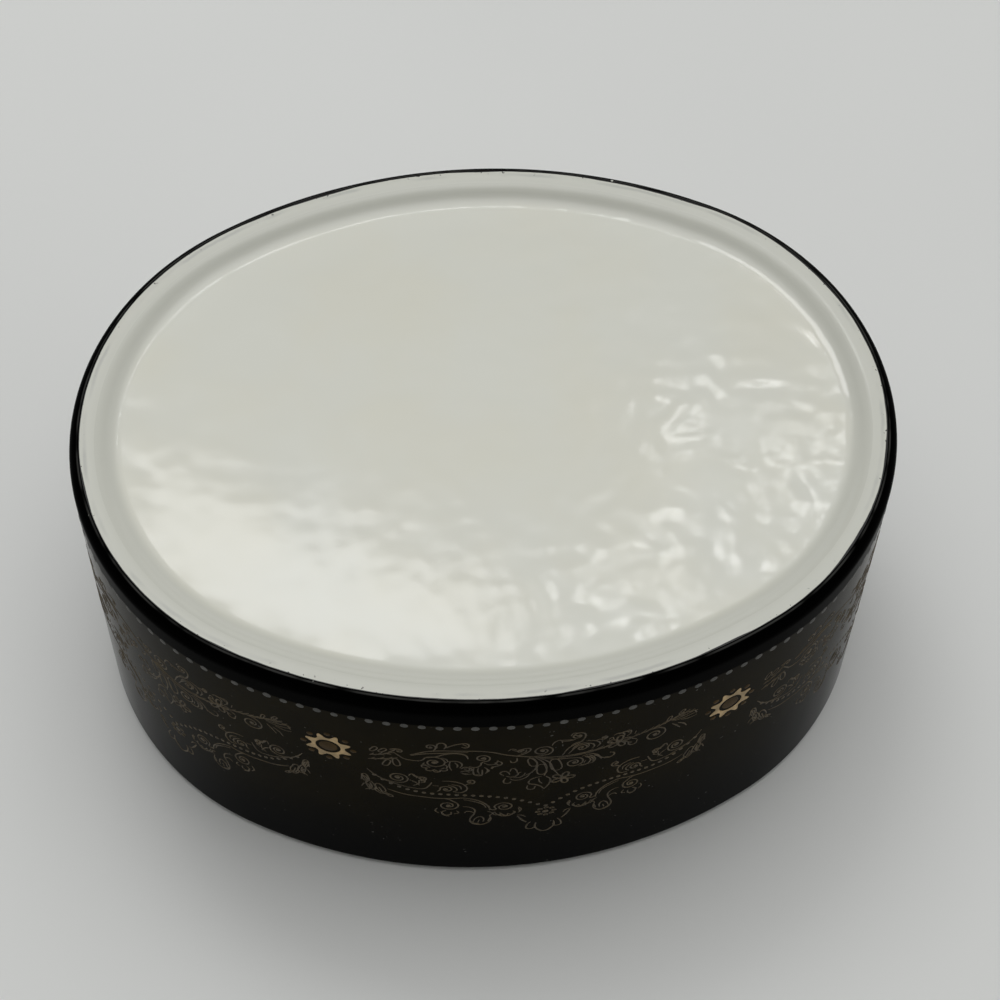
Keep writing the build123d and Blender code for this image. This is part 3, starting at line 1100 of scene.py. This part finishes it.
class OVAL_BOX_OT_festoons(ScrollOperator, bpy.types.Operator):
    """Prints the lower festoon of each panel: a dotted swag with scrolls, a daisy and a pendant"""

    bl_idname = "oval_box.festoons"
    bl_label = "Festoons"

    # Middle of the festoon, and the length of its right half as a share of its left
    middle = 1.8
    right_share = 0.9

    # Dotted swag: a level run that dips in the middle and rises at its ends
    dot_pitch = 1.12
    dot_radius = 0.33
    half_length = 24.4
    level = 26.1
    dip = 5.1
    dip_spread = 4.6
    dip_power = 1.3
    rise = 4.5
    rise_start = 15
    rise_spread = 9
    rise_power = 2.2

    # Daisy over the pendant: eight small rings round a dot
    daisy_height = 19.1
    daisy_dot = 0.45
    petals = 8
    petal_reach = 1.15
    petal_radius = 0.36
    petal_turns = 0.875

    lines = [
        [(-22.7, 31.7), (-21.4, 29.9), (-19.0, 28.3), (-16.3, 27.4), (-15.0, 27.5), (-14.3, 28.5),
         (-13.9, 29.6)],
        [(-20.0, 26.2), (-18.5, 25.5), (-17.2, 25.1), (-15.5, 24.9), (-13.5, 24.7), (-11.0, 24.8),
         (-9.5, 25.0), (-8.0, 24.4), (-7.0, 23.6), (-6.2, 22.3), (-6.0, 21.0)],
        [(-9.6, 24.5), (-8.0, 23.8), (-6.9, 22.9), (-6.5, 21.8)],
        [(-16.6, 31.9), (-16.2, 31.2), (-15.5, 30.9), (-14.9, 30.7), (-15.3, 30.0), (-14.8, 29.8),
         (-15.4, 29.2)],
        [(-16.4, 28.2), (-15.7, 29.0), (-15.6, 30.1)],
        [(-12.5, 30.2), (-11.2, 30.2), (-9.9, 29.6), (-9.2, 28.6), (-9.2, 27.6), (-9.8, 26.8),
         (-10.8, 26.7)],
        [(-11.2, 29.2), (-10.1, 28.7), (-9.9, 27.8)],
        [(-13.8, 28.6), (-12.9, 28.6)],
        [(-9.7, 22.2), (-8.9, 22.1), (-8.1, 21.3), (-8.1, 20.0), (-8.5, 18.9), (-8.7, 17.6), (-8.2, 16.6),
         (-7.2, 16.3), (-6.2, 17.0), (-5.8, 18.2), (-6.0, 19.2)],
        [(-2.0, 21.5), (-1.6, 20.7), (-2.0, 19.7)],
        [(-0.2, 16.2), (-0.75, 15.1), (-0.6, 13.9), (0.1, 13.9), (0.5, 14.8)],
        [(-21.9, 25.9), (-21.4, 24.9), (-20.7, 24.5), (-20.1, 25.0)],
        [(-13.2, 21.6), (-13.5, 20.6), (-13.0, 19.9)],
        [(-12.0, 20.9), (-12.6, 20.2), (-12.2, 19.4), (-11.4, 19.6), (-11.3, 20.4)],
        [(-10.6, 20.9), (-10.3, 20.2), (-10.9, 19.8)],
        [(-8.3, 17.2), (-7.8, 18.6), (-7.2, 18.9), (-6.8, 18.2), (-6.9, 17.2)],
        [(-7.6, 17.0), (-7.4, 17.9)],
        [(-8.1, 20.2), (-9.0, 20.7), (-9.5, 20.2)],
        [(-6.0, 19.2), (-5.6, 20.0), (-6.3, 20.6)],
        [(-17.0, 31.0), (-16.6, 31.8), (-16.1, 31.3), (-15.9, 30.6)],
        [(-15.6, 31.1), (-14.8, 31.0), (-14.7, 30.3), (-15.4, 29.8)],
        [(-16.9, 29.9), (-16.2, 29.4), (-15.6, 28.5)],
        [(-11.7, 29.0), (-10.8, 28.4), (-10.5, 27.5), (-11.0, 26.9)],
        [(-23.6, 28.0), (-23.2, 29.2), (-22.7, 28.2), (-23.0, 27.0)],
        [(-23.6, 25.9), (-23.0, 26.9), (-22.4, 25.9), (-23.1, 25.0)],
        [(-5.3, 20.2), (-4.7, 19.2), (-3.8, 18.8), (-3.0, 19.1), (-2.6, 20.0)],
        [(-2.2, 18.8), (-1.5, 18.7), (-1.0, 18.0)],
    ]
    curls = [
        (-18.5, 30.2, 1.55, -100, 1.8, [(-20.4, 29.2)]),
        (-11.9, 27.7, 1.0, 200, -1.3, [(-13.2, 26.9)]),
        (-8.7, 30.2, 0.75, -110, 1.2, [(-9.5, 28.9)]),
        (-11.7, 22.5, 1.5, 60, -1.6, [(-13.2, 24.6), (-11.9, 24.6)]),
        (-4.0, 21.9, 1.45, 215, -1.7, [(-6.1, 22.4), (-5.8, 21.2)]),
    ]
    blades = [
        (-23.0, 28.8, 2.2, -80), (-22.3, 26.6, 2.6, -75), (-21.0, 26.2, 2.6, -70), (-19.8, 24.3, 1.2, -40),
    ]
    accents = [
        [(-2.1, 18.5), (-1.5, 17.2), (-0.8, 16.2)], [(-12.7, 20.4), (-12.3, 19.4), (-11.6, 19.0)],
        [(-8.7, 17.6), (-8.2, 16.8), (-7.4, 16.5)],
        [(-6.2, 17.5), (-5.9, 18.6)], [(-23.4, 29.6), (-22.7, 27.4)],
        [(-22.4, 27.4), (-22.2, 26.1), (-22.6, 25.2)],
        [(-21.2, 26.4), (-20.6, 24.6)], [(-20.2, 25.0), (-19.8, 24.2)],
        [(-16.4, 31.6), (-15.6, 30.8), (-15.2, 29.8)], [(-4.6, 20.0), (-3.6, 18.9), (-2.8, 19.2)],
        [(-19.2, 28.4), (-17.4, 27.6)], [(-2.0, 21.2), (-1.8, 20.0)],
    ]
    edges = [(-4.0, 20.8, 1.3, 200, 340, 3)]
    pendant = [
        (0.55, 15.7), (0.45, 14.4), (0.9, 13.3), (1.8, 12.6), (2.7, 13.3), (3.15, 14.4), (3.05, 15.7),
    ]

    def swag(self, reach):
        """Height of the dotted line at a distance from the festoon's middle, in millimetres."""
        height = self.level - self.dip * math.exp(-(reach / self.dip_spread) ** self.dip_power)
        beyond = max(0.0, reach - self.rise_start) / self.rise_spread
        return height + self.rise * beyond ** self.rise_power

    def mirrored(self, line):
        """The same line in the right half."""
        return [(self.middle + (self.middle - along) * self.right_share, height) for along, height in line]

    def draw_pair(self, curve, line, **style):
        """Adds a line of the left half and the same line in the right half."""
        self.draw_line(curve, line, **style)
        self.draw_line(curve, self.mirrored(line), **style)

    def build(self, context):
        relief = self.ornament.relief
        curve = bpy.data.curves.new("festoons", "CURVE")
        open_lines = self.lines + [curl(*values) for values in self.curls]
        for values in self.edges:
            open_lines += lobes(*values)
        for line in open_lines:
            self.draw_pair(curve, line)
        for values in self.blades:
            self.draw_pair(curve, blade(*values), closed=True, weight=self.blade_weight)
        for line in self.accents:
            self.draw_pair(curve, line, weight=self.accent_weight)
        self.draw_line(curve, self.pendant, weight=self.bold_weight)
        for index in range(self.petals):
            heading = math.tau * index / self.petals
            along = self.middle + self.petal_reach * math.cos(heading)
            height = self.daisy_height + self.petal_reach * math.sin(heading)
            ring = curl(along, height, self.petal_radius, 0, self.petal_turns)
            self.draw_line(curve, ring, closed=True, weight=self.fine_weight)
        flat = self.flat_mesh(context, curve)
        add_dot(flat, self.middle * MM, self.daisy_height * MM, self.daisy_dot * MM, relief, 10)
        for along, height, radius, *rest in self.curls:
            eye = radius * self.eye_share * MM
            for spot in [(along, height)] + self.mirrored([(along, height)]):
                add_dot(flat, spot[0] * MM, spot[1] * MM, eye, relief, self.eye_sides)
        reach = 0.0
        while reach < self.half_length:
            for side in ((-1,) if reach == 0 else (-1, self.right_share)):
                along = self.middle + side * reach
                add_dot(flat, along * MM, self.swag(reach) * MM, self.dot_radius * MM, relief, 8)
            reach += self.dot_pitch
        whole = self.repeat(flat, self.scroll_places())
        add_piece(context, "festoons", whole, self.dull_gold(), "box")


class OVAL_BOX_OT_stage(bpy.types.Operator):
    """Sets the table, the soft light and the camera"""

    bl_idname = "oval_box.stage"
    bl_label = "Stage"
    bl_options = {"REGISTER", "UNDO"}

    # Windows over the table: places to the right and to the back, lengths and widths, and turns in degrees
    window_height = 0.90
    wide_place = (-0.167, 0.428)
    wide_spread = (0.40, 0.25)
    wide_turn = -26.6
    pane_places = [
        (0.164, 0.560), (0.212, 0.540), (0.224, 0.498), (0.147, 0.476), (0.152, 0.440), (0.104, 0.458),
    ]
    pane_spread = (0.019, 0.016)
    pane_turn = -14.0
    pane_share = 4.1

    # Soft light of the room: where the pale walls end, and how far the other lights spread
    wall_top = (0.35, 0.12)
    side_height = math.radians(40)
    side_spread = (0.3, 1.0)
    daylight_height = math.radians(80)
    daylight_spread = (0.75, 1.0)

    table_radius = 4.0
    table_shade = 0.96
    sensor_width = 36

    def execute(self, context):
        stage = context.scene.oval_box_stage
        context.scene.view_settings.view_transform = "Standard"
        self.add_table(context, stage)
        self.add_room(context, stage)
        wide_window = (self.wide_place, self.wide_spread, self.wide_turn)
        self.add_window(context, "wide_window", stage.windows, *wide_window)
        for index, place in enumerate(self.pane_places):
            pane = (place, self.pane_spread, self.pane_turn)
            self.add_window(context, f"pane_{index + 1}", stage.windows * self.pane_share, *pane)
        self.add_camera(context, stage)
        return {"FINISHED"}

    def add_table(self, context, stage):
        """A wide pale table top."""
        material, finish = new_finish("pale_table")
        place = finish.place()
        clouds = finish.noise(place, 180 * MM, 2.0).step(0.3, 0.7)
        grain = finish.noise(place, 1.2 * MM, 2.0)
        finish.principled({
            "Base Color": finish.mix(clouds, stage.table, scaled(stage.table, self.table_shade)),
            "Roughness": 0.55,
            "Specular IOR Level": 0.2,
            "Normal": finish.bump(grain, 0.004 * MM),
        })
        bm = bmesh.new()
        bmesh.ops.create_circle(bm, cap_ends=True, segments=96, radius=self.table_radius)
        mesh = bpy.data.meshes.new("table")
        bm.to_mesh(mesh)
        bm.free()
        mesh.materials.append(material)
        table = bpy.data.objects.new("table", mesh)
        context.scene.collection.objects.link(table)

    def add_room(self, context, stage):
        """Soft light: pale walls all round, daylight from above and a little from each side."""
        world = bpy.data.worlds.new("room")
        context.scene.world = world
        finish = Finish(world)
        direction = finish.node("ShaderNodeTexCoord", output="Generated")
        side = finish.axis("X", direction) * math.cos(self.side_height)
        up = finish.axis("Z", direction)
        raised = up * math.sin(self.side_height)
        walls = up.step(*self.wall_top)
        right = (raised + side).step(*self.side_spread) * stage.right_light
        left = (raised - side).step(*self.side_spread) * stage.left_light
        back = finish.axis("Y", direction) * math.cos(self.daylight_height)
        above = up * math.sin(self.daylight_height) + back
        daylight = above.step(*self.daylight_spread) * stage.daylight
        light = walls * stage.walls + (1 - walls) * (right + left + daylight)
        finish.connect(finish.tree.nodes["Background"], {"Color": (1, 1, 1, 1), "Strength": light})

    def add_window(self, context, name, strength, place, spread, turn):
        """A flat rectangular light that faces down, with an even brightness."""
        lamp = bpy.data.lights.new(name, "AREA")
        lamp.shape = "RECTANGLE"
        lamp.size, lamp.size_y = spread
        lamp.energy = strength * math.pi * spread[0] * spread[1]
        holder = bpy.data.objects.new(name, lamp)
        holder.location = (*place, self.window_height)
        holder.rotation_euler = (0, 0, math.radians(turn))
        context.scene.collection.objects.link(holder)

    def add_camera(self, context, stage):
        """The photograph's view."""
        target = Vector(stage.target)
        level = math.cos(stage.elevation)
        right = level * math.sin(stage.azimuth)
        front = level * math.cos(stage.azimuth)
        away = Vector((right, -front, math.sin(stage.elevation)))
        camera = bpy.data.cameras.new("camera")
        camera.sensor_width = self.sensor_width
        camera.lens = stage.lens
        camera.clip_start = 10 * MM
        holder = bpy.data.objects.new("camera", camera)
        turn = (-away).to_track_quat("-Z", "Y").to_matrix() @ Matrix.Rotation(stage.roll, 3, "Z")
        holder.matrix_world = Matrix.Translation(target + away * stage.distance) @ turn.to_4x4()
        context.scene.collection.objects.link(holder)
        context.scene.camera = holder


class OVAL_BOX_PT_sidebar(bpy.types.Panel):
    """Lists the box's pieces and settings"""

    bl_idname = "OVAL_BOX_PT_sidebar"
    bl_label = "Oval Box"
    bl_space_type = "VIEW_3D"
    bl_region_type = "UI"
    bl_category = "Oval Box"

    def draw(self, context):
        for operator in OPERATORS:
            self.layout.operator(operator.bl_idname)
        for name in SETTINGS:
            settings = getattr(context.scene, name)
            box = self.layout.box()
            for key in settings.__annotations__:
                box.prop(settings, key)


SETTINGS = {
    "oval_box_sizes": OvalBoxSizes,
    "oval_box_ornament": OvalBoxOrnament,
    "oval_box_finishes": OvalBoxFinishes,
    "oval_box_stage": OvalBoxStage,
}
OPERATORS = [
    OVAL_BOX_OT_porcelain_box,
    OVAL_BOX_OT_wall_coat,
    OVAL_BOX_OT_lid_casting,
    OVAL_BOX_OT_lid_coat,
    OVAL_BOX_OT_bead_row,
    OVAL_BOX_OT_suns,
    OVAL_BOX_OT_sun_bosses,
    OVAL_BOX_OT_vine_sprays,
    OVAL_BOX_OT_festoons,
    OVAL_BOX_OT_stage,
]


def register():
    for group in SETTINGS.values():
        bpy.utils.register_class(group)
    for name, group in SETTINGS.items():
        setattr(bpy.types.Scene, name, PointerProperty(type=group))
    for operator in OPERATORS:
        bpy.utils.register_class(operator)
    bpy.utils.register_class(OVAL_BOX_PT_sidebar)


def unregister():
    bpy.utils.unregister_class(OVAL_BOX_PT_sidebar)
    for operator in reversed(OPERATORS):
        bpy.utils.unregister_class(operator)
    for name, group in SETTINGS.items():
        delattr(bpy.types.Scene, name)
        bpy.utils.unregister_class(group)


def main():
    register()
    bpy.ops.oval_box.porcelain_box()
    bpy.ops.oval_box.wall_coat()
    bpy.ops.oval_box.lid_casting()
    bpy.ops.oval_box.lid_coat()
    bpy.ops.oval_box.bead_row()
    bpy.ops.oval_box.suns()
    bpy.ops.oval_box.sun_bosses()
    bpy.ops.oval_box.vine_sprays()
    bpy.ops.oval_box.festoons()
    bpy.ops.oval_box.stage()


if __name__ == "__main__":
    main()
